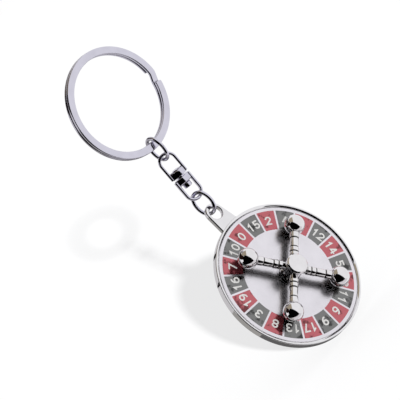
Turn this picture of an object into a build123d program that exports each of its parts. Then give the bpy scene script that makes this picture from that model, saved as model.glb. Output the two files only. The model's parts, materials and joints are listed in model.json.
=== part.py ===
from build123d import *
from math import asin, atan2, cos, degrees, radians, sin, sqrt, tan
import os

# Roulette wheel key ring: a numbered dial in a round case with a tab, and a turret that
# spins over it. It hangs from a flat split ring by an oval link, a swivel and a second link.
# Millimetres, +Z up, +X to the right, and the dial looks towards -Y and a little up.
# The origin is the highest point inside the split ring, where a key or a hook bears.

# Split ring: one flat strip wound in two turns
ring_inner_radius = 13.0
ring_band_width = 2.0
ring_strip_thickness = 0.9
ring_slit_width = 0.1
ring_edge_round = 0.16
cross_over_angle = 13.0
cross_over_overlap_angle = 1.0
cross_over_sections = 7

# Oval wire links
link_wire_diameter = 1.0
link_width = 5.6
link_length = 7.7
link_side_bulge = 0.25
ring_link_angle = 90.0
tab_link_angle = -71.0
hang_clearance = 0.1
swivel_clearance = 0.25
tab_clearance = 0.2

# Swivel: two stirrups of flat strap on one shouldered rivet
strap_thickness = 0.8
strap_depth = 1.2
strap_round = 0.35
stirrup_width = 5.2
stirrup_length = 7.4
stirrup_leg_setback = 0.2
upper_stirrup_angle = -33.0
lower_stirrup_angle = -18.0
bridge_height = 1.9
bridge_edge_depth = 0.6
bridge_middle_depth = 2.4
bridge_round = 0.15
swivel_gap = 0.4
rivet_radius = 0.6
rivet_collar_radius = 1.15
rivet_head_radius = 1.15
rivet_head_height = 1.2
rivet_head_round = 0.25
rivet_peen_radius = 0.95
rivet_peen_height = 0.15
rivet_peen_round = 0.1
running_clearance = 0.04
end_play = 0.05

# Case: rim, web and tab in one casting
fold_angle = 17.0
case_radius = 20.0
case_depth = 1.8
lip_height = 0.35
lip_land_width = 0.3
lip_slope_width = 0.6
rim_round = 0.25
web_thickness = 0.5
tab_root_half_width = 3.2
tab_root_overlap_length = 0.65
tab_end_radius = 2.6
tab_end_reach_length = 4.65
tab_top_height = 0.2
tab_thickness = 1.5
tab_round = 0.4
tab_hole_radius = 1.75
tab_hole_offset = 0.3

# Back cover
cover_ledge_width = 0.55
rim_foot_width = 1.2
cover_thickness = 0.35
cover_edge = 0.08
seat_clearance = 0.05

# Dial: struck plate with twenty sunk pockets, filled with enamel
plate_thickness = 0.5
plate_edge = 0.08
pocket_count = 20
dial_border_width = 0.91
pocket_length = 5.48
pocket_depth = 0.15
divider_width = 0.5
dial_angle = 2.1
enamel_sink_depth = 0.03
numbers = [0, 15, 2, 4, 1, 12, 14, 5, 18, 11, 6, 9, 17, 13, 8, 3, 19, 16, 7, 10]
numeral_height = 2.4
numeral_stroke_width = 0.42
numeral_gap = 0.3
numeral_margin = 0.3
numeral_inset = 2.69
numeral_relief = 0.05

# Turret: hub, cap, and four turned arms with balls
turret_angle = 33.3
arm_count = 4
arm_height = 3.4
ball_radius = 2.7
ball_inset = 0.16
tenon_radius = 0.7
tenon_length = 1.0
arm_seat_radius = 2.3
neck_radius = 1.0
bead_radius = 1.2
groove_radius = 0.88
barrel_radius = 1.1
arm_edge_round = 0.1
seat_rim_width = 0.05
hub_base_radius = 2.7
hub_base_height = 0.55
hub_waist_radius = 2.2
hub_slope_height = 0.3
hub_boss_radius = 2.55
hub_boss_height = 2.4
hub_top_radius = 2.1
hub_neck_height = 0.3
cap_radius = 2.8
cap_thickness = 1.0
cap_edge = 0.3
cap_stem_radius = 0.9
cap_stem_length = 0.7

# Spindle, with its bush and clip
spindle_radius = 0.8
spindle_socket_depth = 2.0
spindle_tail_length = 0.1
spindle_edge = 0.12
bush_radius = 1.3
bush_flange_radius = 2.2
bush_flange_height = 0.3
clip_radius = 1.7
clip_thickness = 0.2


def arc_reach(radius, half_width):
    return sqrt(radius**2 - half_width**2)


def strap_seat(link_turn, stirrup_turn):
    reach = strap_depth / 2 / abs(sin(radians(link_turn - stirrup_turn)))
    return swivel_clearance + link_inner_bend - arc_reach(link_inner_bend, reach)


def level_direction(turn):
    return Vector(cos(radians(turn)), sin(radians(turn)), 0)


def polar(radius, angle):
    return (radius * cos(radians(angle)), radius * sin(radians(angle)))


# Radii across the case, from its rim to the balls over the pockets' inner ends
recess_radius = case_radius - lip_land_width - lip_slope_width
plate_radius = recess_radius - seat_clearance
pocket_outer_radius = plate_radius - dial_border_width
pocket_inner_radius = pocket_outer_radius - pocket_length
ball_distance = pocket_inner_radius - ball_inset
cover_seat_radius = case_radius - rim_foot_width
cover_radius = cover_seat_radius - seat_clearance
cavity_radius = cover_seat_radius - cover_ledge_width
tab_end_distance = case_radius + tab_end_reach_length
tab_hole_distance = tab_end_distance - tab_hole_offset

# Heights down the chain, from the ring's inner edge to the lower link
up = Vector(0, 0, 1)
ring_centre = Vector(0, 0, -ring_inner_radius)
ring_thickness = 2 * ring_strip_thickness + ring_slit_width
ring_middle_radius = ring_inner_radius + ring_band_width / 2
ring_offset = (ring_strip_thickness + ring_slit_width) / 2
link_bend = (link_width - link_wire_diameter) / 2
link_inner_bend = link_bend - link_wire_diameter / 2
link_straight = link_length - link_width
ring_link_top = -2 * ring_inner_radius - arc_reach(link_inner_bend - hang_clearance, ring_thickness / 2)
ring_link_foot = ring_link_top - link_straight
upper_strap = ring_link_foot - link_inner_bend + strap_seat(ring_link_angle, upper_stirrup_angle)
upper_stirrup_top = upper_strap + strap_thickness
upper_bridge = upper_stirrup_top - stirrup_length
lower_bridge = upper_bridge - swivel_gap
lower_strap = lower_bridge - stirrup_length + strap_thickness
tab_link_top = lower_strap + strap_seat(tab_link_angle, lower_stirrup_angle) - link_inner_bend
tab_link_foot = tab_link_top - link_straight

# Place of the case: its tab's hole hangs in the lower link, and the dial faces a little up
tab_direction = Vector(0, sin(radians(fold_angle)), cos(radians(fold_angle)))
dial_normal = Vector(0, -cos(radians(fold_angle)), sin(radians(fold_angle)))
tab_skew = radians(90 + tab_link_angle)
tab_reach = tab_thickness / 2 / cos(tab_skew) + link_wire_diameter / 2 * tan(tab_skew)
tab_seat = arc_reach(link_inner_bend - tab_clearance, tab_reach)
tab_hole_edge = tab_hole_distance + tab_hole_radius
tab_middle = tab_top_height - tab_thickness / 2
tab_pivot = Vector(0, 0, tab_link_foot)
disc_centre = tab_pivot - tab_direction * (tab_seat + tab_hole_edge) - dial_normal * tab_middle
disc_plane = Plane(origin=disc_centre, x_dir=(1, 0, 0), z_dir=dial_normal)
disc_section = Plane(origin=disc_centre, x_dir=(1, 0, 0), z_dir=-tab_direction)
disc_axis = Axis(disc_centre, dial_normal)
web_back = -plate_thickness - web_thickness
turret_foot = bush_flange_height + end_play


def ring_section(angle, offset):
    radial = Vector(cos(radians(angle)), 0, sin(radians(angle)))
    tangent = Vector(-sin(radians(angle)), 0, cos(radians(angle)))
    place = ring_centre + radial * ring_middle_radius + Vector(0, offset, 0)
    return Plane(origin=place, x_dir=radial, z_dir=tangent)


# Split ring: the front turn, the strip that crosses over, and the back turn
ring_axis = Axis(ring_centre, (0, 1, 0))
with BuildPart() as split_ring:
    with BuildSketch(ring_section(-cross_over_angle, -ring_offset)):
        RectangleRounded(ring_band_width, ring_strip_thickness, ring_edge_round)
    revolve(axis=ring_axis, revolution_arc=360 - cross_over_angle)
    with BuildSketch(ring_section(-cross_over_angle, ring_offset)):
        RectangleRounded(ring_band_width, ring_strip_thickness, ring_edge_round)
    revolve(axis=ring_axis, revolution_arc=360 - cross_over_angle - cross_over_overlap_angle)
    for step in range(cross_over_sections):
        share = step / (cross_over_sections - 1)
        rise = share**2 * (3 - 2 * share)
        with BuildSketch(ring_section(-cross_over_angle * share, 2 * ring_offset * rise - ring_offset)):
            RectangleRounded(ring_band_width, ring_strip_thickness, ring_edge_round)
    loft()


def oval_link(turn, top, foot):
    across = level_direction(turn)
    plane = Plane(origin=(0, 0, 0), x_dir=across, z_dir=across.cross(up))
    half_straight = (top - foot) / 2
    side_offset = (half_straight**2 - link_side_bulge**2) / (2 * link_side_bulge)
    bend_x, bend_y = polar(link_bend, degrees(atan2(half_straight, side_offset)))
    side = link_bend + link_side_bulge
    with BuildPart() as link:
        with BuildLine(plane) as loop:
            ThreePointArc((bend_x, top + bend_y), (0, top + link_bend), (-bend_x, top + bend_y))
            ThreePointArc((-bend_x, top + bend_y), (-side, top - half_straight), (-bend_x, foot - bend_y))
            ThreePointArc((-bend_x, foot - bend_y), (0, foot - link_bend), (bend_x, foot - bend_y))
            ThreePointArc((bend_x, foot - bend_y), (side, top - half_straight), (bend_x, top + bend_y))
        path = loop.wires()[0]
        with BuildSketch(Plane(origin=path @ 0, z_dir=path % 0)):
            Circle(link_wire_diameter / 2)
        sweep(path=path)
    return link


def stirrup(turn, face, side, bore):
    across = level_direction(turn)
    inward = up * side
    frame = Plane(origin=up * face, x_dir=across, z_dir=across.cross(inward))
    deck = Plane(origin=up * face, x_dir=across, z_dir=inward)
    leg = (stirrup_width - strap_thickness) / 2
    leg_length = stirrup_length - stirrup_width / 2
    edge = bridge_edge_depth / 2
    middle = bridge_middle_depth / 2
    with BuildPart() as body:
        with BuildSketch(deck):
            with BuildLine():
                ThreePointArc((-leg, -edge), (0, -middle), (leg, -edge))
                Line((leg, -edge), (leg, edge))
                ThreePointArc((leg, edge), (0, middle), (-leg, edge))
                Line((-leg, edge), (-leg, -edge))
            make_face()
        extrude(amount=bridge_height)
        fillet(body.edges(), radius=bridge_round)
        with BuildLine(frame) as bow:
            Line((leg, stirrup_leg_setback), (leg, leg_length))
            ThreePointArc((leg, leg_length), (0, leg_length + leg), (-leg, leg_length))
            Line((-leg, leg_length), (-leg, stirrup_leg_setback))
        leg_end = deck.offset(stirrup_leg_setback)
        with BuildSketch(Plane(origin=leg_end.origin + across * leg, x_dir=across, z_dir=inward)):
            RectangleRounded(strap_thickness, strap_depth, strap_round)
        sweep(path=bow.wires()[0])
        with BuildSketch(deck):
            Circle(bore)
        extrude(amount=bridge_height, mode=Mode.SUBTRACT)
    return body


ring_link = oval_link(ring_link_angle, ring_link_top, ring_link_foot)
tab_link = oval_link(tab_link_angle, tab_link_top, tab_link_foot)
swivel_upper_stirrup = stirrup(upper_stirrup_angle, upper_bridge, 1, rivet_radius)
swivel_lower_stirrup = stirrup(lower_stirrup_angle, lower_bridge, -1, rivet_radius + running_clearance)

# Rivet: peened over the upper bridge, a collar between the bridges, its head under the lower one
rivet_top = upper_bridge + bridge_height
head_top = lower_bridge - bridge_height - end_play
with BuildPart() as swivel_rivet:
    with BuildSketch(Plane.XZ):
        with BuildLine():
            Polyline(
                (0, rivet_top + rivet_peen_height),
                (rivet_peen_radius, rivet_top + rivet_peen_height),
                (rivet_peen_radius, rivet_top),
                (rivet_radius, rivet_top),
                (rivet_radius, upper_bridge),
                (rivet_collar_radius, upper_bridge),
                (rivet_collar_radius, lower_bridge + end_play),
                (rivet_radius, lower_bridge + end_play),
                (rivet_radius, head_top),
                (rivet_head_radius, head_top),
                (rivet_head_radius, head_top - rivet_head_height),
                (0, head_top - rivet_head_height),
                close=True,
            )
        make_face()
    revolve(axis=Axis.Z)
    fillet(swivel_rivet.edges().filter_by(GeomType.CIRCLE).sort_by(Axis.Z)[0], radius=rivet_head_round)
    fillet(swivel_rivet.edges().filter_by(GeomType.CIRCLE).sort_by(Axis.Z)[-1], radius=rivet_peen_round)

# Case: the tab with its hole first, then the rim and the web turned round the dial's axis
tab_root = case_radius - tab_root_overlap_length
with BuildPart() as case:
    with BuildSketch(disc_plane.offset(tab_top_height)):
        with BuildLine():
            Line((-tab_root_half_width, tab_root), (tab_root_half_width, tab_root))
            CenterArc((0, tab_end_distance), tab_end_radius, 0, 360)
        make_hull()
        with Locations((0, tab_hole_distance)):
            Circle(tab_hole_radius, mode=Mode.SUBTRACT)
    extrude(amount=-tab_thickness)
    fillet(case.faces().sort_by(disc_axis)[-1].edges(), radius=tab_round)
    fillet(case.faces().sort_by(disc_axis)[0].edges(), radius=tab_round)
    with BuildSketch(disc_section) as rim:
        with BuildLine():
            Polyline(
                (bush_radius, -plate_thickness),
                (recess_radius, -plate_thickness),
                (recess_radius, 0),
                (case_radius - lip_land_width, lip_height),
                (case_radius, lip_height),
                (case_radius, -case_depth),
                (cover_seat_radius, -case_depth),
                (cover_seat_radius, cover_thickness - case_depth),
                (cavity_radius, cover_thickness - case_depth),
                (cavity_radius, web_back),
                (bush_radius, web_back),
                close=True,
            )
        make_face()
        fillet(rim.vertices().group_by(Axis.X)[-1], radius=rim_round)
    revolve(axis=disc_axis)

with BuildPart() as back_cover:
    with BuildSketch(disc_plane.offset(-case_depth)):
        Circle(cover_radius)
    extrude(amount=cover_thickness)
    chamfer(back_cover.edges().sort_by(disc_axis)[0], length=cover_edge)

# Pockets: each lies between two dividers of steady width, and pocket 0 starts at the first one
pitch = 360 / pocket_count
first_divider = 90 + dial_angle + pitch / 2


def pocket_corner(radius, divider, side):
    return polar(radius, divider + side * degrees(asin(divider_width / 2 / radius)))


def pocket_faces(first, step):
    for pocket in range(first, pocket_count, step):
        start = first_divider - pocket * pitch
        finish = start - pitch
        middle = (start + finish) / 2
        outer_start = pocket_corner(pocket_outer_radius, start, -1)
        outer_finish = pocket_corner(pocket_outer_radius, finish, 1)
        inner_start = pocket_corner(pocket_inner_radius, start, -1)
        inner_finish = pocket_corner(pocket_inner_radius, finish, 1)
        with BuildLine() as outline:
            ThreePointArc(outer_start, polar(pocket_outer_radius, middle), outer_finish)
            Line(outer_finish, inner_finish)
            ThreePointArc(inner_finish, polar(pocket_inner_radius, middle), inner_start)
            Line(inner_start, outer_start)
        make_face(outline.edges())


def enamel(first):
    with BuildPart() as cells:
        with BuildSketch(disc_plane.offset(-enamel_sink_depth)):
            pocket_faces(first, 2)
        extrude(amount=enamel_sink_depth - pocket_depth)
    return cells


with BuildPart() as dial_plate:
    with BuildSketch(disc_plane):
        Circle(plate_radius)
        Circle(bush_radius, mode=Mode.SUBTRACT)
    extrude(amount=-plate_thickness)
    chamfer(dial_plate.faces().sort_by(disc_axis)[-1].edges().sort_by(SortBy.LENGTH)[-1], length=plate_edge)
    with BuildSketch(disc_plane):
        pocket_faces(0, 1)
    extrude(amount=-pocket_depth, mode=Mode.SUBTRACT)

red_enamel = enamel(0)
black_enamel = enamel(1)

# Numerals: the middle lines of each figure's strokes, as shares of its half width and half height.
# A bowl has its middle height, its half height, the angle where it starts and how far it turns.
figure_bowl_shares = {
    0: [(0, 1, 0, 360)],
    2: [(0.45, 0.55, 170, -205)],
    3: [(0.5, 0.5, 150, -240), (-0.5, 0.5, 90, -240)],
    5: [(-0.4, 0.6, 130, -280)],
    6: [(-0.4, 0.6, 0, 360)],
    8: [(0.5, 0.5, 0, 360), (-0.48, 0.52, 0, 360)],
}
figure_line_shares = {
    1: [[(-0.55, 0.55), (0.2, 1), (0.2, -1)]],
    2: [[(0.82, 0.135), (-1, -1), (1, -1)]],
    4: [[(0.4, 1), (0.4, -1)], [(0.25, 1), (-1, -0.4), (1, -0.4)]],
    5: [[(-0.643, 0.06), (-0.75, 1), (0.85, 1)]],
    6: [[(-1, -0.4), (-0.75, 0.45), (-0.1, 0.9), (0.55, 1)]],
    7: [[(-1, 1), (1, 1), (-0.35, -1)]],
}
numeral_distance = pocket_inner_radius + numeral_inset
number_width = 2 * numeral_distance * sin(radians(pitch / 2)) - divider_width - 2 * numeral_margin
numeral_width = (number_width - numeral_gap) / 2
half_wide = (numeral_width - numeral_stroke_width) / 2
half_high = (numeral_height - numeral_stroke_width) / 2


def figure_strokes(figure):
    strokes = []
    if figure == 9:
        return [Rotation(0, 0, 180) * stroke for stroke in figure_strokes(6)]
    for middle_share, height_share, start, turn in figure_bowl_shares.get(figure, []):
        centre = (0, half_high * middle_share)
        bowl = EllipticalCenterArc(centre, half_wide, half_high * height_share, start, arc_size=turn)
        strokes.append(bowl)
    for point_shares in figure_line_shares.get(figure, []):
        points = [(half_wide * across_share, half_high * up_share) for across_share, up_share in point_shares]
        strokes.append(Polyline(*points))
    return strokes


number_strokes = []
for pocket, number in enumerate(numbers):
    angle = first_divider - (pocket + 1 / 2) * pitch
    figures = [int(character) for character in str(number)]
    for place, figure in enumerate(figures):
        shift = (place - (len(figures) - 1) / 2) * (numeral_width + numeral_gap)
        spot = Rotation(0, 0, angle - 90) * Pos(shift, numeral_distance)
        number_strokes += [spot * stroke for stroke in figure_strokes(figure)]

with BuildPart() as numerals:
    with BuildSketch(disc_plane.offset(-enamel_sink_depth)):
        for stroke in number_strokes:
            trace(stroke, line_width=numeral_stroke_width)
            with Locations(*[vertex.center() for vertex in stroke.vertices()]):
                Circle(numeral_stroke_width / 2)
    extrude(amount=numeral_relief)

# Spindle: fixed in the hub's foot, runs in the bush, and held behind the web by the clip
spindle_top = turret_foot + spindle_socket_depth
clip_front = web_back - end_play
spindle_foot = clip_front - clip_thickness - spindle_tail_length
with BuildPart() as spindle:
    with BuildSketch(disc_plane.offset(spindle_foot)):
        Circle(spindle_radius)
    extrude(amount=spindle_top - spindle_foot)
    chamfer(spindle.edges().filter_by(GeomType.CIRCLE), length=spindle_edge)

with BuildPart() as spindle_bush:
    with BuildSketch(disc_section):
        with BuildLine():
            Polyline(
                (spindle_radius + running_clearance, bush_flange_height),
                (bush_flange_radius, bush_flange_height),
                (bush_flange_radius, 0),
                (bush_radius, 0),
                (bush_radius, web_back),
                (spindle_radius + running_clearance, web_back),
                close=True,
            )
        make_face()
    revolve(axis=disc_axis)

with BuildPart() as retaining_clip:
    with BuildSketch(disc_plane.offset(clip_front)):
        Circle(clip_radius)
        Circle(spindle_radius, mode=Mode.SUBTRACT)
    extrude(amount=-clip_thickness)

# Turret: a turned hub with four spot-faced sockets, and the cap set in its top
waist_start = turret_foot + hub_base_height + hub_slope_height
boss_start = arm_height - hub_boss_height / 2
boss_end = arm_height + hub_boss_height / 2
hub_top_height = boss_end + hub_slope_height + hub_neck_height
with BuildPart() as turret_hub:
    with BuildSketch(disc_section):
        with BuildLine():
            Polyline(
                (0, spindle_top),
                (spindle_radius, spindle_top),
                (spindle_radius, turret_foot),
                (hub_base_radius, turret_foot),
                (hub_base_radius, turret_foot + hub_base_height),
                (hub_waist_radius, waist_start),
                (hub_waist_radius, boss_start - hub_slope_height),
                (hub_boss_radius, boss_start),
                (hub_boss_radius, boss_end),
                (hub_top_radius, boss_end + hub_slope_height),
                (hub_top_radius, hub_top_height),
                (cap_stem_radius, hub_top_height),
                (cap_stem_radius, hub_top_height - cap_stem_length),
                (0, hub_top_height - cap_stem_length),
                close=True,
            )
        make_face()
    revolve(axis=disc_axis)


def arm_plane(angle, distance):
    outward = disc_plane.x_dir * cos(radians(angle)) + tab_direction * sin(radians(angle))
    place = disc_centre + dial_normal * arm_height + outward * distance
    return Plane(origin=place, x_dir=disc_plane.z_dir, z_dir=outward)


def arm_section(angle):
    socket = arm_plane(angle, 0)
    return Plane(origin=socket.origin, x_dir=socket.z_dir, z_dir=socket.z_dir.cross(dial_normal))


arm_angles = [turret_angle + 360 / arm_count * arm for arm in range(arm_count)]
ball_seat = ball_distance - arc_reach(ball_radius, bead_radius + seat_rim_width)
with turret_hub:
    for angle in arm_angles:
        with BuildSketch(arm_plane(angle, arm_seat_radius)):
            Circle(neck_radius + seat_rim_width)
        extrude(amount=hub_boss_radius - arm_seat_radius, mode=Mode.SUBTRACT)
        with BuildSketch(arm_plane(angle, arm_seat_radius)):
            Circle(tenon_radius)
        extrude(amount=-tenon_length, mode=Mode.SUBTRACT)

with BuildPart() as turret_cap:
    with BuildSketch(disc_plane.offset(hub_top_height)):
        Circle(cap_radius)
    extrude(amount=cap_thickness)
    chamfer(turret_cap.edges().sort_by(disc_axis)[-1], length=cap_edge)
    with BuildSketch(disc_plane.offset(hub_top_height)):
        Circle(cap_stem_radius)
    extrude(amount=-cap_stem_length)

# Arms: turned in one piece from a tenon at the hub, by beads and grooves, to a tenon in the ball
arm_length = ball_seat - arm_seat_radius
neck_share = 0.141
bead_shares = (0.122, 0.141)
groove_share = 0.032
collar_share = 0.193
barrel_share = 1 - neck_share - sum(bead_shares) - 3 * groove_share - collar_share
turnings = [
    (tenon_length, tenon_radius),
    (neck_share * arm_length, neck_radius),
    (bead_shares[0] * arm_length, bead_radius),
    (groove_share * arm_length, groove_radius),
    (bead_shares[1] * arm_length, bead_radius),
    (groove_share * arm_length, groove_radius),
    (barrel_share * arm_length, barrel_radius),
    (groove_share * arm_length, groove_radius),
    (collar_share * arm_length, bead_radius),
    (tenon_length, tenon_radius),
]
turret_arms = []
turret_balls = []
for arm, angle in enumerate(arm_angles):
    section = arm_section(angle)
    arm_axis = Axis(section.origin, section.x_dir)
    with BuildPart() as turret_arm:
        with BuildSketch(section) as turned:
            start = arm_seat_radius - tenon_length
            for length, radius in turnings:
                with Locations((start, 0)):
                    Rectangle(length, radius, align=(Align.MIN, Align.MIN))
                start += length
            fillet(turned.vertices().group_by(Axis.Y)[-1], radius=arm_edge_round)
        revolve(axis=arm_axis)
    turret_arms.append(turret_arm)
    with BuildPart() as turret_ball:
        with BuildSketch(section):
            with BuildLine():
                Line((ball_distance + ball_radius, 0), (ball_seat + tenon_length, 0))
                Line((ball_seat + tenon_length, 0), (ball_seat + tenon_length, tenon_radius))
                Line((ball_seat + tenon_length, tenon_radius), (ball_seat, tenon_radius))
                Line((ball_seat, tenon_radius), (ball_seat, bead_radius + seat_rim_width))
                ThreePointArc(
                    (ball_seat, bead_radius + seat_rim_width),
                    (ball_distance, ball_radius),
                    (ball_distance + ball_radius, 0),
                )
            make_face()
        revolve(axis=arm_axis)
    turret_balls.append(turret_ball)

nodes = {
    "split_ring": split_ring,
    "ring_link": ring_link,
    "swivel_upper_stirrup": swivel_upper_stirrup,
    "swivel_lower_stirrup": swivel_lower_stirrup,
    "swivel_rivet": swivel_rivet,
    "tab_link": tab_link,
    "case": case,
    "dial_plate": dial_plate,
    "red_enamel": red_enamel,
    "black_enamel": black_enamel,
    "numerals": numerals,
    "back_cover": back_cover,
    "spindle_bush": spindle_bush,
    "spindle": spindle,
    "retaining_clip": retaining_clip,
    "turret_hub": turret_hub,
    "turret_cap": turret_cap,
}
for arm in range(arm_count):
    nodes[f"turret_arm_{arm + 1}"] = turret_arms[arm]
    nodes[f"turret_ball_{arm + 1}"] = turret_balls[arm]

os.makedirs("parts", exist_ok=True)
for name, node in nodes.items():
    node.part.label = name
    export_step(node.part, f"parts/{name}.step")
print("tab_link pivot", tab_pivot, "disc centre", disc_centre)
print("ring link", ring_link_top, ring_link_foot, "stirrups", upper_stirrup_top, upper_bridge)
print("lower", lower_bridge, lower_strap, "tab link", tab_link_top, tab_link_foot)
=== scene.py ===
import json
from math import asin, atan2, cos, degrees, exp, pi, radians, sin, tan
import bmesh
import bpy
from mathutils import Matrix, Vector, noise


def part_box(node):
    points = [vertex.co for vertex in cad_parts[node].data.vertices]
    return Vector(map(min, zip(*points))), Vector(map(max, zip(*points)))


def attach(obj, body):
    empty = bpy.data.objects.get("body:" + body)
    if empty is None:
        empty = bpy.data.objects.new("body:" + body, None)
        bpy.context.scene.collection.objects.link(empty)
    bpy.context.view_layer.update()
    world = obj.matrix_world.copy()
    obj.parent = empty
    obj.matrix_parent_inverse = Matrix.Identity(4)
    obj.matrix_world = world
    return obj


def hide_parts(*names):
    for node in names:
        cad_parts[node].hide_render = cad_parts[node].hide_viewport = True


# Roulette wheel key ring. Everything is in metres; the settings below are in millimetres.
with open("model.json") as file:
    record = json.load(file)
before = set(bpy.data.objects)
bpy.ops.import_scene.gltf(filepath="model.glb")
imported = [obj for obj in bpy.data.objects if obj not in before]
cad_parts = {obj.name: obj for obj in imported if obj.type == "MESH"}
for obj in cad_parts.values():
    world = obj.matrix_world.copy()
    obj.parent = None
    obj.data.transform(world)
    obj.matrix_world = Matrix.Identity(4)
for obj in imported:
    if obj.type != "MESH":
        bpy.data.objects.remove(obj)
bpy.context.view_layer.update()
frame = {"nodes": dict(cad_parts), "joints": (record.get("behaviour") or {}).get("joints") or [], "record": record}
scene = bpy.context.scene
scene.view_settings.view_transform = "Standard"
mm = 0.001
print("frame loaded:", len(frame["nodes"]), "nodes")

# Camera: where the picture was taken from, with its axes in the model's frame
camera = {
    "place": (-247.633, -350.628, 36.740),
    "right": (0.54999, -0.53822, -0.63861),
    "up": (0.61394, -0.25784, 0.74606),
    "back": (-0.56620, -0.80239, 0.18863),
    "lens": 153,
    "sensor": 36,
}


def viewDirection(x, y, z):
    # x to the right of the picture, y up it, z out of it towards the camera
    return (Vector(camera["right"]) * x + Vector(camera["up"]) * y + Vector(camera["back"]) * z).normalized()


cameraData = bpy.data.cameras.new("camera")
cameraData.lens = camera["lens"]
cameraData.sensor_width = camera["sensor"]
cameraData.clip_start = 10 * mm
cameraData.clip_end = 20
cameraObject = bpy.data.objects.new("camera", cameraData)
scene.collection.objects.link(cameraObject)
axes = Matrix([viewDirection(1, 0, 0), viewDirection(0, 1, 0), viewDirection(0, 0, 1)]).transposed()
cameraObject.matrix_world = Matrix.Translation(Vector(camera["place"]) * mm) @ axes.to_4x4()
scene.camera = cameraObject


def srgb(code):
    values = [int(code[i:i + 2], 16) / 255 for i in (1, 3, 5)]
    return [v / 12.92 if v <= 0.04045 else ((v + 0.055) / 1.055) ** 2.4 for v in values] + [1]


def addNode(tree, kind, settings=None, links=None):
    node = tree.nodes.new("ShaderNode" + kind)
    for key, value in (settings or {}).items():
        if isinstance(key, int) or key in node.inputs:
            node.inputs[key].default_value = value
        else:
            setattr(node, key, value)
    for key, source in (links or {}).items():
        tree.links.new(source, node.inputs[key])
    return node


def newTree(name):
    material = bpy.data.materials.new(name)
    material.use_nodes = True
    material.node_tree.nodes.clear()
    return material, material.node_tree


def pieceFromMesh(name, maker):
    mesh = bpy.data.meshes.new(name)
    maker.to_mesh(mesh)
    maker.free()
    piece = bpy.data.objects.new(name, mesh)
    scene.collection.objects.link(piece)
    return piece


# World: white behind the object, a plain even level on it
studio = {"level": 1.0, "room": "#F4F4F6", "background": "#FFFFFF"}
world = bpy.data.worlds.new("studio")
scene.world = world
world.use_nodes = True
worldTree = world.node_tree
worldTree.nodes.clear()
rays = addNode(worldTree, "LightPath")
roomLight = addNode(worldTree, "Background", {"Color": srgb(studio["room"]), "Strength": studio["level"]})
backdrop = addNode(worldTree, "Background", {"Color": srgb(studio["background"]), "Strength": 1.0})
pick = addNode(
    worldTree, "MixShader", {},
    {0: rays.outputs["Is Camera Ray"], 1: roomLight.outputs[0], 2: backdrop.outputs[0]},
)
addNode(worldTree, "OutputWorld", {}, {"Surface": pick.outputs[0]})

# Floor: a level pale board just under the case. Most of its white is its own, so that the object's
# shadow stays faint; the rest it takes from the room and the lamp.
board = {"height": -95.0, "side": 6000.0, "glow": "#C8C8C8", "colour": "#8A8A8A"}
maker = bmesh.new()
bmesh.ops.create_grid(maker, x_segments=1, y_segments=1, size=board["side"] / 2 * mm)
floor = pieceFromMesh("floor", maker)
floor.location.z = board["height"] * mm
floor.visible_glossy = False
paper, tree = newTree("matt white board, painted")
chalky = addNode(tree, "BsdfDiffuse", {"Color": srgb(board["colour"])})
glow = addNode(tree, "Emission", {"Color": srgb(board["glow"]), "Strength": 1.0})
both = addNode(tree, "AddShader", {}, {0: chalky.outputs[0], 1: glow.outputs[0]})
addNode(tree, "OutputMaterial", {}, {"Surface": both.outputs[0]})
paper.cycles.emission_sampling = "NONE"
floor.visible_diffuse = False
floor.data.materials.append(paper)

# One low lamp draws the soft shadows on the floor; only the floor takes its light
shadowLamp = {"turn": 242.0, "rise": 13.0, "strength": 11.0, "softness": 1.5}
lampData = bpy.data.lights.new("shadowLamp", "SUN")
lampData.energy = shadowLamp["strength"]
lampData.angle = radians(shadowLamp["softness"])
lamp = bpy.data.objects.new("shadowLamp", lampData)
scene.collection.objects.link(lamp)
toLamp = Vector((
    cos(radians(shadowLamp["turn"])) * cos(radians(shadowLamp["rise"])),
    sin(radians(shadowLamp["turn"])) * cos(radians(shadowLamp["rise"])),
    sin(radians(shadowLamp["rise"])),
))
lamp.rotation_mode = "QUATERNION"
lamp.rotation_quaternion = toLamp.to_track_quat("Z", "Y")
litByLamp = bpy.data.collections.new("litByShadowLamp")
litByLamp.objects.link(floor)
lamp.light_linking.receiver_collection = litByLamp

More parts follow.
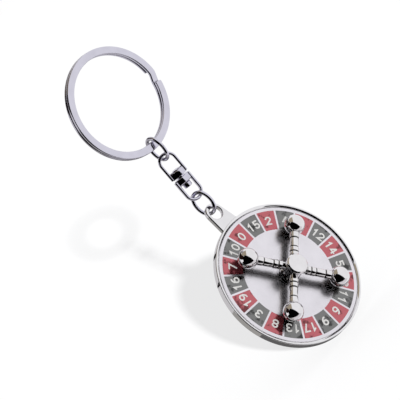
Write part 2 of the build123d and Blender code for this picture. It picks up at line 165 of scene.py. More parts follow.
# Cards round the object that only the polished metal sees, as corners in the picture's directions.
# A nearer card covers one behind it. The black window is the dark shape in every ball, the slit and
# the stand are the small dark marks on the case's left wall, the card under the case and the shaded floor are
# painted shade (the floor's shadow below the object as the metal mirrors it), and the rest are the room.
cardCentre = Vector((0, -6, -45)) * mm
cards = {
    "blackWindow": {
        "distance": 900, "colour": "#040404",
        "corners": [(-0.315, 0.54, 0.78), (0.87, -0.3, 0.38), (0.17, -0.82, 0.5), (-0.6, -0.8, 0.0),
                    (-0.8, -0.62, 0.08), (-0.72, -0.45, 0.53), (-0.8, -0.1, 0.5), (-0.6, 0.53, 0.6)],
    },
    "slit": {
        "distance": 920, "colour": "#1A1A1A",
        "corners": [(-0.45, 0.16, -0.88), (-0.43, 0.02, -0.9), (-0.5, 0.0, -0.87), (-0.52, 0.14, -0.84)],
    },
    "stand": {
        "distance": 930, "colour": "#141414",
        "corners": [(-0.755, -0.13, -0.64), (-0.74, -0.2, -0.64), (-0.8, -0.19, -0.57),
                    (-0.81, -0.13, -0.57)],
    },
    "darkPanel": {
        "distance": 950, "colour": "#1E1210",
        "corners": [(-0.72, 0.42, 0.55), (-0.77, -0.05, 0.63), (-0.89, -0.22, 0.4), (-0.99, -0.13, 0.0),
                    (-0.96, -0.16, -0.22), (-0.84, 0.0, -0.54), (-0.62, 0.4, -0.68), (-0.62, 0.6, -0.5),
                    (-0.82, 0.52, -0.2), (-0.85, 0.42, 0.3)],
    },
    "backWall": {
        "distance": 980, "colour": "#737275",
        "corners": [(-0.7, 0.6, -0.3), (-0.8, 0.2, -0.56), (-0.5, 0.34, -0.79), (-0.2, 0.42, -0.88),
                    (-0.36, 0.7, -0.62)],
    },
    "beigeWall": {
        "distance": 1000, "colour": "#A39886",
        "corners": [(-0.25, 0.587, 0.79), (-0.722, 0.422, 0.549), (-0.83, 0.41, 0.37), (-0.95, 0.3, -0.1),
                    (-0.7, 0.7, -0.25), (-0.247, 0.94, -0.236)],
    },
    "paleFloor": {
        "distance": 1050, "colour": "#DAD7DA",
        "corners": [(0.855, -0.239, 0.46), (0.107, -0.802, 0.588), (0.1, -0.95, -0.1), (0.95, -0.2, -0.1)],
    },
    # painted shade: a grey card for the case's own shadow on the floor under it, as the metal mirrors it
    "underCase": {
        "distance": 1080, "colour": "#636262",
        "corners": [(-0.3, -0.92, -0.2), (0.4, -0.9, -0.15), (0.75, -0.5, -0.45), (0.6, -0.1, -0.8),
                    (0.1, -0.15, -0.98), (-0.1, -0.6, -0.8), (-0.33, -0.82, -0.46)],
    },
    "shadedFloor": {
        "distance": 1100, "colour": "#A2A09D",
        "corners": [(0.107, -0.9, 0.3), (-0.739, -0.665, 0.093), (-0.84, -0.52, -0.2), (-0.66, -0.56, -0.5),
                    (-0.1, -0.6, -0.8), (0.3, -0.7, -0.6)],
    },
    "leftFloor": {
        "distance": 1200, "colour": "#CFCDCF",
        "corners": [(-0.6, -0.75, -0.25), (-0.93, -0.36, 0.05), (-0.98, -0.1, -0.2), (-0.86, 0.12, -0.5),
                    (-0.5, 0.25, -0.83), (0.0, 0.2, -0.98), (0.1, -0.3, -0.95), (-0.3, -0.7, -0.65)],
    },
}
# A slip of grey card held close behind the split ring, for the inside of its right hand turn
slip = {"left": 2, "right": 14, "foot": -23, "top": 0, "behind": 7, "colour": "#D2D1D6"}


def hangCard(name, maker, colour):
    # an evenly lit card that neither the camera nor the floor sees, and that casts no shadow
    sheet = pieceFromMesh(name, maker)
    sheet.visible_camera = False
    sheet.visible_diffuse = False
    sheet.visible_shadow = False
    paint, tree = newTree("studio card " + name)
    light = addNode(tree, "Emission", {"Color": srgb(colour), "Strength": 1.0})
    addNode(tree, "OutputMaterial", {}, {"Surface": light.outputs[0]})
    paint.cycles.emission_sampling = "NONE"
    sheet.data.materials.append(paint)


for name, card in cards.items():
    # the outline is cut up and pushed out to a sphere, so that a nearer card covers a farther one
    maker = bmesh.new()
    face = maker.faces.new([maker.verts.new(viewDirection(*corner)) for corner in card["corners"]])
    bmesh.ops.poke(maker, faces=[face])
    bmesh.ops.subdivide_edges(maker, edges=maker.edges[:], cuts=7, use_grid_fill=True)
    for vertex in maker.verts:
        vertex.co = cardCentre + vertex.co.normalized() * card["distance"] * mm
    hangCard(name, maker, card["colour"])

maker = bmesh.new()
maker.faces.new([
    maker.verts.new(Vector((slip[x], slip["behind"], slip[z])) * mm)
    for x, z in (("left", "foot"), ("right", "foot"), ("right", "top"), ("left", "top"))
])
hangCard("slip", maker, slip["colour"])
print("studio set:", len(cards) + 1, "cards")

# The dial's own axes, from the turret's joint
discHinge = next(joint for joint in frame["joints"] if joint["name"] == "turret_spin")
discCentre = Vector(discHinge["pos_m"]) / mm
dialNormal = Vector(discHinge["axis"]).normalized()
dialRight = Vector((1, 0, 0))
tabDirection = dialNormal.cross(dialRight)


def onDial(x, y, height):
    # x to the dial's right, y towards the tab, height over the plate's face
    return discCentre + dialRight * x + tabDirection * y + dialNormal * height


# Painted shade in a polish brown, for corners and for the side that faces the dial: its colour, and how far out of
# a corner it reaches
paintedShade = {"colour": "#1C130E", "reach": 0.5}


def metalFinish(name, colour, roughness, wear, lines, lineDepth, patch, peel, turned=False, ringTone=0,
                shadeUnderside=False):
    # lines are the tool's or the drawing die's marks; their spacing and depth, and the sizes of the
    # patches and of the orange peel, are in mm. They follow the piece's UVs, or with turned the dial's
    # axis, where ringTone is how much darker the tool's rings are. Every finish gets painted shade, a
    # polish brown, in its corners; with the underside switch the side that faces the dial gets it too.
    material, tree = newTree(name)
    where = addNode(tree, "TexCoord").outputs["Object"]
    if turned:
        arm = addNode(tree, "VectorMath", {"operation": "SUBTRACT", 1: discCentre * mm}, {0: where})
        spread = addNode(
            tree, "VectorMath", {"operation": "CROSS_PRODUCT", 1: dialNormal}, {0: arm.outputs[0]},
        )
        reach = addNode(tree, "VectorMath", {"operation": "LENGTH"}, {0: spread.outputs[0]})
        steps = addNode(tree, "Math", {"operation": "DIVIDE", 1: lines * mm}, {0: reach.outputs["Value"]})
        across = addNode(tree, "CombineXYZ", {}, {"Y": steps.outputs[0]})
    else:
        along = addNode(tree, "UVMap", {"uv_map": "making"})
        across = addNode(
            tree, "Mapping", {"Scale": (0.04 / lines, 1 / lines, 1)}, {"Vector": along.outputs[0]},
        )
    marks = addNode(tree, "TexNoise", {"Scale": 1.0, "Detail": 3.0}, {"Vector": across.outputs[0]})
    handling = addNode(tree, "TexNoise", {"Scale": 1 / (patch * mm), "Detail": 5.0}, {"Vector": where})
    waver = addNode(tree, "TexNoise", {"Scale": 1 / (peel * mm), "Detail": 1.0}, {"Vector": where})
    worn = addNode(tree, "MapRange", {"From Min": 0.35, "From Max": 0.7}, {"Value": handling.outputs["Fac"]})
    rough = addNode(
        tree, "MapRange", {"To Min": roughness, "To Max": roughness + wear}, {"Value": worn.outputs[0]},
    )
    dull = [v * 0.93 for v in srgb(colour)[:3]] + [1]
    tones = addNode(tree, "MixRGB", {1: srgb(colour), 2: dull}, {0: worn.outputs[0]})
    if ringTone:
        rings = addNode(
            tree, "MapRange", {"From Min": 0.35, "From Max": 0.65, "To Min": 1 - ringTone},
            {"Value": marks.outputs["Fac"]},
        )
        tones = addNode(
            tree, "MixRGB", {"blend_type": "MULTIPLY", 0: 1.0}, {1: tones.outputs[0], 2: rings.outputs[0]},
        )
    # painted shade: a polish brown darkens every corner that ambient occlusion finds
    shadeColour = srgb(paintedShade["colour"])
    corner = addNode(
        tree, "AmbientOcclusion", {"samples": 8, "only_local": True, "Distance": paintedShade["reach"] * mm},
    )
    unshaded = addNode(tree, "MapRange", {"From Min": 0.45, "From Max": 0.9}, {"Value": corner.outputs["AO"]})
    tones = addNode(tree, "MixRGB", {1: shadeColour}, {0: unshaded.outputs[0], 2: tones.outputs[0]})
    # painted shade: the side that faces the dial goes the same brown
    if shadeUnderside:
        facing = addNode(tree, "TexCoord").outputs["Normal"]
        outward = addNode(tree, "VectorMath", {"operation": "DOT_PRODUCT", 1: dialNormal}, {0: facing})
        awayFromDial = addNode(
            tree, "MapRange", {"From Min": -0.75, "From Max": -0.05}, {"Value": outward.outputs["Value"]},
        )
        tones = addNode(tree, "MixRGB", {1: shadeColour}, {0: awayFromDial.outputs[0], 2: tones.outputs[0]})
    soft = addNode(tree, "Bump", {"Strength": 1.0, "Distance": 0.002 * mm}, {"Height": waver.outputs["Fac"]})
    relief = addNode(
        tree, "Bump", {"Strength": 1.0, "Distance": lineDepth * mm},
        {"Height": marks.outputs["Fac"], "Normal": soft.outputs[0]},
    )
    shader = addNode(
        tree, "BsdfPrincipled", {"Metallic": 1.0},
        {"Base Color": tones.outputs[0], "Roughness": rough.outputs[0], "Normal": relief.outputs[0]},
    )
    addNode(tree, "OutputMaterial", {}, {"Surface": shader.outputs[0]})
    return material


# Nickel on spring steel, tumbled: a cool silver with faint hairlines along the strip and the wire
nickel = metalFinish(
    "steel strip and wire, nickel plated, tumbled", "#D9D7E3",
    roughness=0.03, wear=0.07, lines=0.12, lineDepth=0.00015, patch=2.5, peel=0.9,
)
# Nickel over a zinc casting: the skin under the plate is never quite flat, so reflections waver
castNickel = metalFinish(
    "zinc casting, nickel plated, buffed", "#F0EFF0",
    roughness=0.035, wear=0.05, lines=0.15, lineDepth=0.0001, patch=4.0, peel=1.6,
)
# The back cover is faced on a lathe before plating: fine rings round the middle
facedNickel = metalFinish(
    "zinc disc, faced and nickel plated", "#ECEAEC",
    roughness=0.26, wear=0.1, lines=0.5, lineDepth=0.003, patch=4.0, peel=2.0, turned=True, ringTone=0.3,
)
# The dial's sheet is bright plated but not coloured up, so it mirrors softly
mirrorPlate = metalFinish(
    "struck brass sheet, bright plated", "#EDEAEF",
    roughness=0.24, wear=0.03, lines=0.2, lineDepth=0.0001, patch=5.0, peel=2.5, turned=True,
)
# Chrome on turned brass: the hardest mirror here, with faint tool marks and, on the side that faces
# the dial, painted shade in a polish brown
chrome = metalFinish(
    "turned brass, chrome plated", "#EFEDEE",
    roughness=0.02, wear=0.04, lines=0.1, lineDepth=0.00015, patch=1.8, peel=0.8, shadeUnderside=True,
)
# Bare brass of the bush: warm, with the tool's rings
brass = metalFinish(
    "brass bar, turned", "#D8B469",
    roughness=0.2, wear=0.1, lines=0.1, lineDepth=0.002, patch=1.0, peel=0.5, turned=True, ringTone=0.15,
)
# Bare steel of the spindle and its clip: cool, with the tool's rings
steel = metalFinish(
    "steel bar, turned bright", "#C9C9CC",
    roughness=0.2, wear=0.1, lines=0.1, lineDepth=0.002, patch=1.0, peel=0.5, turned=True, ringTone=0.15,
)


def enamelFinish(name, colour, deep, glow):
    # translucent epoxy over bright plate: a metallic glow from below under a clear wet skin, with
    # dark blots at random, more of them towards the dial's edge
    material, tree = newTree(name)
    where = addNode(tree, "TexCoord").outputs["Object"]
    arm = addNode(tree, "VectorMath", {"operation": "SUBTRACT", 1: discCentre * mm}, {0: where})
    reach = addNode(tree, "VectorMath", {"operation": "LENGTH"}, {0: arm.outputs[0]})
    outer = addNode(
        tree, "MapRange", {"From Min": 13 * mm, "From Max": 18 * mm, "To Max": 0.1},
        {"Value": reach.outputs["Value"]},
    )
    blots = addNode(
        tree, "TexNoise", {"Scale": 1 / (2.2 * mm), "Detail": 5.0, "Roughness": 0.6},
        {"Vector": arm.outputs[0]},
    )
    cloud = addNode(tree, "Math", {"operation": "ADD"}, {0: blots.outputs["Fac"], 1: outer.outputs[0]})
    dust = addNode(tree, "TexNoise", {"Scale": 1 / (0.25 * mm), "Detail": 2.0}, {"Vector": where})
    thick = addNode(tree, "MapRange", {"From Min": 0.6, "From Max": 0.7}, {"Value": cloud.outputs[0]})
    tones = addNode(tree, "MixRGB", {1: srgb(colour), 2: srgb(deep)}, {0: thick.outputs[0]})
    rough = addNode(tree, "MapRange", {"To Min": 0.08, "To Max": 0.16}, {"Value": dust.outputs["Fac"]})
    relief = addNode(
        tree, "Bump", {"Strength": 1.0, "Distance": 0.0015 * mm}, {"Height": dust.outputs["Fac"]},
    )
    shader = addNode(
        tree, "BsdfPrincipled",
        {"Metallic": glow, "IOR": 1.55, "Coat Weight": 1.0, "Coat Roughness": 0.03, "Coat IOR": 1.55},
        {"Base Color": tones.outputs[0], "Roughness": rough.outputs[0], "Normal": relief.outputs[0]},
    )
    addNode(tree, "OutputMaterial", {}, {"Surface": shader.outputs[0]})
    return material


redEnamel = enamelFinish("epoxy enamel, red, poured over bright plate", "#BE5A63", "#6A0E1A", 0.85)
blackEnamel = enamelFinish("epoxy enamel, black, poured over bright plate", "#747473", "#1C1C1B", 0.95)

# Screen ink, cured hard: chalky white with thin spots and a low gloss
whiteInk, tree = newTree("screen ink, white, cured")
where = addNode(tree, "TexCoord").outputs["Object"]
patches = addNode(tree, "TexNoise", {"Scale": 1 / (0.3 * mm), "Detail": 3.0}, {"Vector": where})
tones = addNode(tree, "MixRGB", {1: srgb("#DEDDD9"), 2: srgb("#F6F5F1")}, {0: patches.outputs["Fac"]})
relief = addNode(tree, "Bump", {"Strength": 1.0, "Distance": 0.004 * mm}, {"Height": patches.outputs["Fac"]})
shader = addNode(
    tree, "BsdfPrincipled", {"Roughness": 0.35},
    {"Base Color": tones.outputs[0], "Normal": relief.outputs[0]},
)
addNode(tree, "OutputMaterial", {}, {"Surface": shader.outputs[0]})

finishes = {
    "polished_nickel": nickel,
    "nickel_zinc": castNickel,
    "mirror_plate": mirrorPlate,
    "red_enamel": redEnamel,
    "black_enamel": blackEnamel,
    "white_ink": whiteInk,
    "brass": brass,
    "bright_steel": steel,
    "chrome": chrome,
}
slotOfNode = {part["node"]: part["material_slot"] for part in frame["record"]["subparts"]}
for name, node in frame["nodes"].items():
    node.material_slots[0].material = finishes[slotOfNode[name]]
frame["nodes"]["back_cover"].material_slots[0].material = facedNickel
print("materials set:", len(finishes) + 1)


def softCorners(corners, steps=5):
    # corners as (x, y, rounding); each rounding becomes a short arc
    points = []
    for index, (x, y, rounding) in enumerate(corners):
        here = Vector((x, y))
        if not rounding:
            points.append(here)
            continue
        before = (Vector(corners[index - 1][:2]) - here).normalized()
        after = (Vector(corners[(index + 1) % len(corners)][:2]) - here).normalized()
        half = before.angle(after) / 2
        middle = here + (before + after).normalized() * rounding / sin(half)
        start = here + before * rounding / tan(half) - middle
        finish = here + after * rounding / tan(half) - middle
        swing = start.angle(finish)
        for step in range(steps + 1):
            first = sin((1 - step / steps) * swing) / sin(swing)
            last = sin(step / steps * swing) / sin(swing)
            points.append(middle + start * first + finish * last)
    return points


def softBox(width, height, rounding, steps=4):
    x, y = width / 2, height / 2
    return softCorners([(x, -y, rounding), (x, y, rounding), (-x, y, rounding), (-x, -y, rounding)], steps)


def skinRings(maker, rings, closedPath=False, closedRing=True):
    # rings of points in mm, joined by quads; the UVs run along the path and round the ring, in mm
    uv = maker.loops.layers.uv.get("making") or maker.loops.layers.uv.new("making")
    rows = [[maker.verts.new(point * mm) for point in ring] for ring in rings]
    count = len(rings[0])
    widest = max(range(count), key=lambda k: (rings[1][k] - rings[0][k]).length)
    along = 0
    for i in range(len(rings) if closedPath else len(rings) - 1):
        j = (i + 1) % len(rings)
        step = (rings[j][widest] - rings[i][widest]).length
        around = 0
        for k in range(count if closedRing else count - 1):
            m = (k + 1) % count
            side = (rings[i][m] - rings[i][k]).length
            quad = maker.faces.new([rows[i][k], rows[j][k], rows[j][m], rows[i][m]])
            ahead, beside = along + step, around + side
            corners = [(along, around), (ahead, around), (ahead, beside), (along, beside)]
            for loop, corner in zip(quad.loops, corners):
                loop[uv].uv = corner
            around += side
        along += step
    if not closedPath and closedRing:
        maker.faces.new(rows[0])
        maker.faces.new(rows[-1])


def turnedShell(maker, profile, place, axis, closedRing=False, segments=96):
    # profile as (radius, height) points, turned round the axis that runs through place
    side = axis.orthogonal().normalized()
    other = axis.cross(side)
    rings = []
    for segment in range(segments):
        turn = 2 * pi * segment / segments
        out = side * cos(turn) + other * sin(turn)
        rings.append([place + out * radius + axis * height for radius, height in profile])
    skinRings(maker, rings, closedPath=True, closedRing=closedRing)


# How close two corners are joined, in mm, and the angle from which an edge shades sharp, in degrees
skin = {"join": 0.0005, "sharp": 38}


def dressPiece(name, maker, body, nodes):
    bmesh.ops.remove_doubles(maker, verts=maker.verts[:], dist=skin["join"] * mm)
    bmesh.ops.recalc_face_normals(maker, faces=maker.faces[:])
    for face in maker.faces:
        face.smooth = True
    piece = pieceFromMesh(name, maker)
    piece.data.set_sharp_from_angle(angle=radians(skin["sharp"]))
    weights = piece.modifiers.new("weighted normals", "WEIGHTED_NORMAL")
    weights.keep_sharp = True
    slot = slotOfNode[nodes[0]]
    piece.data.materials.append(finishes[slot])
    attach(piece, body)
    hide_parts(*nodes)


# Split ring: one flat strip wound in two turns, its long edges and the corners of its cut ends rounded
splitRing = {
    "innerRadius": 13.0, "bandWidth": 2.0, "strip": 0.9, "slit": 0.1, "edgeRound": 0.32,
    "crossOver": 13.0, "overlap": 1.0, "endRound": 0.35, "endStep": 15, "step": 1.5,
}


def stripRings(ring):
    middle = ring["innerRadius"] + ring["bandWidth"] / 2
    start, finish = ring["crossOver"], 720 - ring["overlap"]
    # the turns crowd towards both ends, where the strip narrows, and are even between
    bends = [radians(turn) for turn in range(0, 91, ring["endStep"])]
    nearEnd = [degrees(ring["endRound"] * (1 - cos(bend)) / middle) for bend in bends]
    stretch = finish - start - 2 * nearEnd[-1]
    steady = int(stretch / ring["step"])
    turns = [start + turn for turn in nearEnd]
    turns += [start + nearEnd[-1] + stretch * k / steady for k in range(1, steady)]
    turns += [finish - turn for turn in reversed(nearEnd)]
    rings = []
    for turn in turns:
        share = min(max((turn - 360) / ring["crossOver"], 0), 1)
        offset = (ring["strip"] + ring["slit"]) * (share**2 * (3 - 2 * share) - 1 / 2)
        toEnd = radians(min(turn - start, finish - turn)) * middle
        short = max(ring["endRound"] - toEnd, 0)
        narrow = ring["endRound"] - (ring["endRound"]**2 - short**2) ** 0.5
        out = Vector((cos(radians(-turn)), 0, sin(radians(-turn))))
        centre = Vector((0, offset, -ring["innerRadius"])) + out * middle
        section = softBox(ring["bandWidth"] - 2 * narrow, ring["strip"], ring["edgeRound"])
        rings.append([centre + out * x + Vector((0, y, 0)) for x, y in section])
    return rings


maker = bmesh.new()
skinRings(maker, stripRings(splitRing))
dressPiece("splitRingStrip", maker, "key_ring", ["split_ring"])

# Oval links of round wire, bent shut, with the cut ends meeting in a fine seam at one side
wireLink = {
    "wire": 1.0, "width": 5.6, "length": 7.7, "bulge": 0.25, "seam": 0.05, "cutRound": 0.06, "step": 5,
    "facet": 12, "join": 0.001,
}
linkPlaces = {
    "ringLinkWire": {"node": "ring_link", "body": "upper_link", "turn": 90.0},
    "tabLinkWire": {"node": "tab_link", "body": "lower_link", "turn": -71.0},
}


def ovalArcs(link):
    # the middle, the radius, and the first and last angle of each arc, from the seam and back to it
    bend = (link["width"] - link["wire"]) / 2
    half = (link["length"] - link["width"]) / 2
    offset = (half**2 - link["bulge"]**2) / (2 * link["bulge"])
    side = bend + link["bulge"] + offset
    swing = degrees(atan2(half, offset))
    gape = degrees(link["seam"] / 2 / side)
    return [
        ((offset, 0), side, 180 + gape, 180 + swing),
        ((0, -half), bend, 180 + swing, 360 - swing),
        ((-offset, 0), side, 360 - swing, 360 + swing),
        ((0, half), bend, 360 + swing, 540 - swing),
        ((offset, 0), side, 540 - swing, 540 - gape),
    ]


def wireCircle(link, place, out, flat, radius):
    turns = [radians(turn) for turn in range(0, 360, link["facet"])]
    return [place + out * radius * cos(turn) + flat * radius * sin(turn) for turn in turns]


def wireRings(link, across, centre):
    upward = Vector((0, 0, 1))
    flat = across.cross(upward)
    stations = []
    for middle, radius, first, last in ovalArcs(link):
        count = max(3, int((last - first) / link["step"]))
        for k in range(count + 1):
            angle = radians(first + (last - first) * k / count)
            out = across * cos(angle) + upward * sin(angle)
            place = centre + across * middle[0] + upward * middle[1] + out * radius
            if not stations or (place - stations[-1][0]).length > link["join"]:
                stations.append((place, out))
    thick = link["wire"] / 2
    rings = [wireCircle(link, place, out, flat, thick) for place, out in stations]
    # each cut end is a flat face with a broken edge behind it
    for end, inner in ((0, 1), (-1, -2)):
        place, out = stations[end]
        inward = (stations[inner][0] - place).normalized() * link["cutRound"]
        face = wireCircle(link, place, out, flat, thick - link["cutRound"])
        rings[end] = [point + inward for point in rings[end]]
        rings.insert(0 if end == 0 else len(rings), face)
    return rings


for name, spot in linkPlaces.items():
    low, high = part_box(spot["node"])
    maker = bmesh.new()
    across = Vector((cos(radians(spot["turn"])), sin(radians(spot["turn"])), 0))
    skinRings(maker, wireRings(wireLink, across, (Vector(low) + Vector(high)) / 2 / mm))
    dressPiece(name, maker, spot["body"], [spot["node"]])

# Swivel stirrups: a flat strap bent to a U, brazed into a lens shaped bridge
stirrup = {
    "strap": 0.8, "depth": 1.2, "strapRound": 0.33, "width": 5.2, "length": 7.4, "setback": 0.2,
    "bridgeHeight": 1.9, "bridgeEdge": 0.6, "bridgeMiddle": 2.4, "bridgeRound": 0.12, "bridgeSoft": 0.6,
    "softShare": 0.8, "legSteps": 6, "bendStep": 6, "bridgeSteps": 24,
}
stirrupPlaces = {
    "upperStirrupForged": {"node": "swivel_upper_stirrup", "body": "swivel_upper", "turn": -33.0, "side": 1},
    "lowerStirrupForged": {"node": "swivel_lower_stirrup", "body": "swivel_lower", "turn": -18.0, "side": -1},
}


def strapRings(shape, across, inward, face):
    leg = (shape["width"] - shape["strap"]) / 2
    top = shape["length"] - shape["width"] / 2
    flat = across.cross(inward)
    steps, straight = shape["legSteps"], top - shape["setback"]
    stations = [(leg, shape["setback"] + straight * k / steps, 0) for k in range(steps)]
    for turn in range(0, 181, shape["bendStep"]):
        stations.append((leg * cos(radians(turn)), top + leg * sin(radians(turn)), turn))
    stations += [(-leg, top - straight * k / steps, 180) for k in range(1, steps + 1)]
    rings = []
    for x, y, turn in stations:
        out = across * cos(radians(turn)) + inward * sin(radians(turn))
        place = face + across * x + inward * y
        section = softBox(shape["strap"], shape["depth"], shape["strapRound"])
        rings.append([place + out * a + flat * b for a, b in section])
    return rings


def bridgeRings(shape, across, inward, face):
    # lens shaped from the end, with its long edges on the stirrup's inside well rounded
    leg = (shape["width"] - shape["strap"]) / 2
    edge, middle, height = shape["bridgeEdge"] / 2, shape["bridgeMiddle"] / 2, shape["bridgeHeight"]
    flat = across.cross(inward)
    sag = middle - edge
    radius = (leg**2 + sag**2) / (2 * sag)
    crisp = shape["bridgeRound"]
    rings = []
    for k in range(shape["bridgeSteps"] + 1):
        turn = asin(leg / radius) * (1 - 2 * k / shape["bridgeSteps"])
        half = radius * cos(turn) - radius + middle
        soft = min(shape["bridgeSoft"], half * shape["softShare"])
        section = softCorners([
            (half, 0, crisp), (half, height, soft), (-half, height, soft), (-half, 0, crisp),
        ])
        rings.append([face + across * radius * sin(turn) + flat * a + inward * b for a, b in section])
    return rings


for name, spot in stirrupPlaces.items():
    low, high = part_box(spot["node"])
    across = Vector((cos(radians(spot["turn"])), sin(radians(spot["turn"])), 0))
    inward = Vector((0, 0, spot["side"]))
    face = Vector((0, 0, low[2] if spot["side"] == 1 else high[2])) / mm
    maker = bmesh.new()
    skinRings(maker, strapRings(stirrup, across, inward, face))
    skinRings(maker, bridgeRings(stirrup, across, inward, face))
    dressPiece(name, maker, spot["body"], [spot["node"]])

# Rivet: peened flat over the upper bridge, a collar between the bridges, a round edged head below
rivet = {
    "shank": 0.6, "collar": 1.15, "gap": 0.4, "head": 1.15, "headHeight": 1.2, "headRound": 0.25,
    "peen": 0.95, "peenHeight": 0.15, "peenRound": 0.1, "play": 0.05, "crisp": 0.05,
    "segments": 64,
}
rivetFoot, rivetTop = (corner[2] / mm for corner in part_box("swivel_rivet"))
peenFoot = rivetTop - rivet["peenHeight"]
headTop = rivetFoot + rivet["headHeight"]
collarFoot = headTop + stirrup["bridgeHeight"] + 2 * rivet["play"]
collarTop = headTop + rivet["play"] + stirrup["bridgeHeight"] + rivet["gap"]
profile = softCorners([
    (0, rivetFoot, 0), (rivet["head"], rivetFoot, rivet["headRound"]),
    (rivet["head"], headTop, rivet["crisp"]), (rivet["shank"], headTop, 0),
    (rivet["shank"], collarFoot, 0), (rivet["collar"], collarFoot, rivet["crisp"]),
    (rivet["collar"], collarTop, rivet["crisp"]), (rivet["shank"], collarTop, 0),
    (rivet["shank"], peenFoot, 0), (rivet["peen"], peenFoot, 0),
    (rivet["peen"], rivetTop, rivet["peenRound"]), (0, rivetTop, 0),
])
maker = bmesh.new()
turnedShell(maker, profile, Vector((0, 0, 0)), Vector((0, 0, 1)), segments=rivet["segments"])
dressPiece("swivelRivetTurned", maker, "swivel_upper", ["swivel_rivet"])
print("ring, links and swivel made")

# Case: a turned rim with a hollow back, and the tab cast on it. The rim's inner slope rises early, so
# that a dark band shows inside a light land; its two breaks are shares of the slope and of the lip.
case = {
    "radius": 20.0, "depth": 1.8, "lip": 0.35, "land": 0.3, "slope": 0.6, "rimRound": 0.25, "lipRound": 0.05,
    "heelAt": 0.05, "heelRise": 0.2, "brinkAt": 0.7, "plateRound": 0.03, "footRound": 0.04,
    "plate": 0.5, "web": 0.5, "bore": 1.3, "foot": 1.2, "ledge": 0.55, "cover": 0.35, "segments": 240,
}
tab = {
    "rootHalf": 3.2, "root": 19.35, "end": 24.65, "endRadius": 2.6, "top": 0.2, "thickness": 1.5,
    "edgeRound": 0.4, "hole": 24.35, "holeRadius": 1.75, "endSteps": 48, "sideSteps": 10, "edgeStep": 15,
}


def rimProfile(case):
    recess = case["radius"] - case["land"] - case["slope"]
    coverSeat = case["radius"] - case["foot"]
    ledge = coverSeat - case["ledge"]
    coverFace = case["cover"] - case["depth"]
    webFoot = -case["plate"] - case["web"]
    return softCorners([
        (case["bore"], -case["plate"], 0), (recess, -case["plate"], 0), (recess, 0, case["plateRound"]),
        (recess + case["slope"] * case["heelAt"], case["lip"] * case["heelRise"], case["lipRound"]),
        (recess + case["slope"] * case["brinkAt"], case["lip"], case["lipRound"]),
        (case["radius"], case["lip"], case["rimRound"]), (case["radius"], -case["depth"], case["rimRound"]),
        (coverSeat, -case["depth"], case["footRound"]), (coverSeat, coverFace, 0), (ledge, coverFace, 0),
        (ledge, webFoot, 0), (case["bore"], webFoot, 0),
    ])


def tabOutline(tab):
    # points with their outward directions: over the end, down the left side, along the root under
    # the rim, and back up the right side
    corner = Vector((tab["rootHalf"], tab["root"] - tab["end"]))
    tangent = atan2(corner.y, corner.x) + pi / 2 - asin(tab["endRadius"] / corner.length)
    middle = Vector((0, tab["end"]))
    stations = []
    for k in range(tab["endSteps"] + 1):
        turn = tangent + (pi - 2 * tangent) * k / tab["endSteps"]
        out = Vector((cos(turn), sin(turn)))
        stations.append((middle + out * tab["endRadius"], out))
    steps = tab["sideSteps"]
    for side, order in ((-1, range(1, steps + 1)), (1, range(steps, 0, -1))):
        out = Vector((side * cos(tangent), sin(tangent)))
        top = middle + out * tab["endRadius"]
        foot = Vector((side * tab["rootHalf"], tab["root"]))
        stations += [(top.lerp(foot, k / steps), out) for k in order]
        if side == -1:
            for k in range(1, steps):
                along = tab["rootHalf"] * (2 * k / steps - 1)
                stations.append((Vector((along, tab["root"])), Vector((0, -1))))
    return stations


def tabRings(tab):
    # one ring across the tab at each point of the outline, from its edge to the hole
    rounding, top, foot = tab["edgeRound"], tab["top"], tab["top"] - tab["thickness"]
    turns = [radians(turn) for turn in range(0, 91, tab["edgeStep"])]
    edges = [(rounding * (1 - sin(turn)), foot + rounding * (1 - cos(turn))) for turn in turns]
    edges += [(rounding * (1 - cos(turn)), top - rounding * (1 - sin(turn))) for turn in turns]
    holeCentre = Vector((0, tab["hole"]))
    rings = []
    for place, out in tabOutline(tab):
        toward = (place - holeCentre).normalized()
        outer = [(place - out * inset, height) for inset, height in edges]
        inner = [
            (holeCentre + toward * (tab["holeRadius"] + inset), height) for inset, height in reversed(edges)
        ]
        rings.append([onDial(point.x, point.y, height) for point, height in outer + inner])
    return rings


maker = bmesh.new()
turnedShell(maker, rimProfile(case), discCentre, dialNormal, closedRing=True, segments=case["segments"])
skinRings(maker, tabRings(tab), closedPath=True)
dressPiece("caseCasting", maker, "wheel", ["case"])

# Enamel: each pocket is flooded level with a meniscus at its walls, and sets with slow waves
dial = {
    "pockets": 20, "angle": 2.1, "outer": 18.14, "length": 5.48, "divider": 0.5, "depth": 0.15, "sink": 0.03,
    "meniscus": 0.02, "climb": 0.16, "wave": 0.006, "waveLength": 2.4, "waveFloor": -0.2, "seedStep": 7,
    "rows": 22, "columns": 24,
}


def enamelHeight(dial, point, toWall, seed):
    wave = noise.noise(Vector((point.x, point.y, seed)) / dial["waveLength"])
    climb = dial["meniscus"] * exp(-toWall / dial["climb"])
    return -dial["sink"] + climb + dial["wave"] * max(wave, dial["waveFloor"])


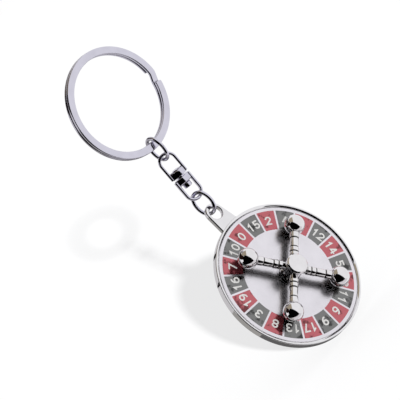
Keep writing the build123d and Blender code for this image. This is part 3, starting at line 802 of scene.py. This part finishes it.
def floodPocket(maker, dial, pocket):
    # rows and columns crowd towards the walls, where the meniscus climbs
    pitch = 360 / dial["pockets"]
    start = 90 + dial["angle"] + pitch / 2 - pocket * pitch
    inner = dial["outer"] - dial["length"]
    grid = []
    for row in range(dial["rows"] + 1):
        share = (1 - cos(pi * row / dial["rows"])) / 2
        radius = inner + dial["length"] * share
        trim = degrees(asin(dial["divider"] / 2 / radius))
        line = []
        for column in range(dial["columns"] + 1):
            across = (1 - cos(pi * column / dial["columns"])) / 2
            turn = radians(start - trim - (pitch - 2 * trim) * across)
            point = Vector((radius * cos(turn), radius * sin(turn)))
            width = radians(pitch - 2 * trim) * radius
            toWall = min(radius - inner, dial["outer"] - radius, width * across, width * (1 - across))
            line.append((point, enamelHeight(dial, point, toWall, pocket * dial["seedStep"])))
        grid.append(line)
    rows = [[maker.verts.new(onDial(p.x, p.y, height) * mm) for p, height in line] for line in grid]
    for low, high in zip(rows, rows[1:]):
        for k in range(dial["columns"]):
            maker.faces.new([low[k], low[k + 1], high[k + 1], high[k]])
    border = [(0, k) for k in range(dial["columns"])]
    border += [(row, -1) for row in range(dial["rows"])]
    border += [(-1, -1 - k) for k in range(dial["columns"])]
    border += [(dial["rows"] - row, 0) for row in range(dial["rows"])]
    brim = [rows[row][column] for row, column in border]
    below = [
        maker.verts.new(onDial(grid[row][column][0].x, grid[row][column][0].y, -dial["depth"]) * mm)
        for row, column in border
    ]
    for k in range(len(brim)):
        m = (k + 1) % len(brim)
        maker.faces.new([brim[k], brim[m], below[m], below[k]])
    maker.faces.new(below)


for first, name, node in ((0, "redEnamelFlood", "red_enamel"), (1, "blackEnamelFlood", "black_enamel")):
    maker = bmesh.new()
    for pocket in range(first, dial["pockets"], 2):
        floodPocket(maker, dial, pocket)
    dressPiece(name, maker, "wheel", [node])
print("case and enamel made")

# Turret: a cap, and four turned arms with balls; the hub stays the frame's own solid
turret = {
    "angle": 33.3, "arms": 4, "height": 3.4, "ballRadius": 2.7, "ballInset": 0.16, "seatRim": 0.05,
    "armSeat": 2.3, "bead": 1.2, "neck": 1.0, "groove": 0.88, "barrel": 1.1, "tenon": 0.7, "tenonLength": 1.0,
    "edgeRound": 0.1, "grooveRound": 0.04, "ballSteps": 48, "armSegments": 64, "ballSegments": 96,
    "capFoot": 5.2, "capRadius": 2.8, "capThickness": 1.0, "capEdge": 0.3, "capSegments": 128,
    "turning": [("neck", 0.141), ("bead", 0.122), ("groove", 0.032), ("bead", 0.141), ("groove", 0.032),
                ("barrel", 0.307), ("groove", 0.032), ("bead", 0.193)],
}
ballDistance = dial["outer"] - dial["length"] - turret["ballInset"]
ballSeat = ballDistance - (turret["ballRadius"]**2 - (turret["bead"] + turret["seatRim"])**2) ** 0.5
armLength = ballSeat - turret["armSeat"]


def armProfile(turret):
    # from the hub outward, with a tenon at both ends; the turned parts are shares of the arm's length
    start, tenon, tenonLength = turret["armSeat"], turret["tenon"], turret["tenonLength"]
    corners = [(0, start - tenonLength, 0), (tenon, start - tenonLength, 0), (tenon, start, 0)]
    for kind, share in turret["turning"]:
        rounding = turret["grooveRound"] if kind == "groove" else turret["edgeRound"]
        corners += [(turret[kind], start, rounding), (turret[kind], start + share * armLength, rounding)]
        start += share * armLength
    # the neck starts square, because it seats against the hub
    corners[3] = (turret["neck"], turret["armSeat"], 0)
    corners += [(tenon, start, 0), (tenon, start + tenonLength, 0), (0, start + tenonLength, 0)]
    return softCorners(corners, 4)


def ballProfile(turret):
    # a ball with a flat where the arm's last bead seats
    radius, steps = turret["ballRadius"], turret["ballSteps"]
    first = asin((turret["bead"] + turret["seatRim"]) / radius)
    points = [Vector((0, ballSeat))]
    for k in range(steps + 1):
        turn = pi - first - (pi - first) * k / steps
        points.append(Vector((radius * sin(turn), ballDistance + radius * cos(turn))))
    return points


armCentre = discCentre + dialNormal * turret["height"]
turnings = (
    ("turretArmTurned", "turret_arm_", armProfile(turret), turret["armSegments"]),
    ("turretBallTurned", "turret_ball_", ballProfile(turret), turret["ballSegments"]),
)
for arm in range(turret["arms"]):
    turn = radians(turret["angle"] + 360 / turret["arms"] * arm)
    outward = dialRight * cos(turn) + tabDirection * sin(turn)
    for name, node, profile, segments in turnings:
        maker = bmesh.new()
        turnedShell(maker, profile, armCentre, outward, segments=segments)
        dressPiece(name + str(arm + 1), maker, "turret", [node + str(arm + 1)])

capFoot, capTop = turret["capFoot"], turret["capFoot"] + turret["capThickness"]
capRadius, capEdge, edgeRound = turret["capRadius"], turret["capEdge"], turret["edgeRound"]
profile = softCorners([
    (0, capFoot, 0), (capRadius, capFoot, edgeRound), (capRadius, capTop - capEdge, edgeRound),
    (capRadius - capEdge, capTop, edgeRound), (0, capTop, 0),
])
maker = bmesh.new()
turnedShell(maker, profile, discCentre, dialNormal, segments=turret["capSegments"])
dressPiece("turretCapTurned", maker, "turret", ["turret_cap"])
print("turret made")
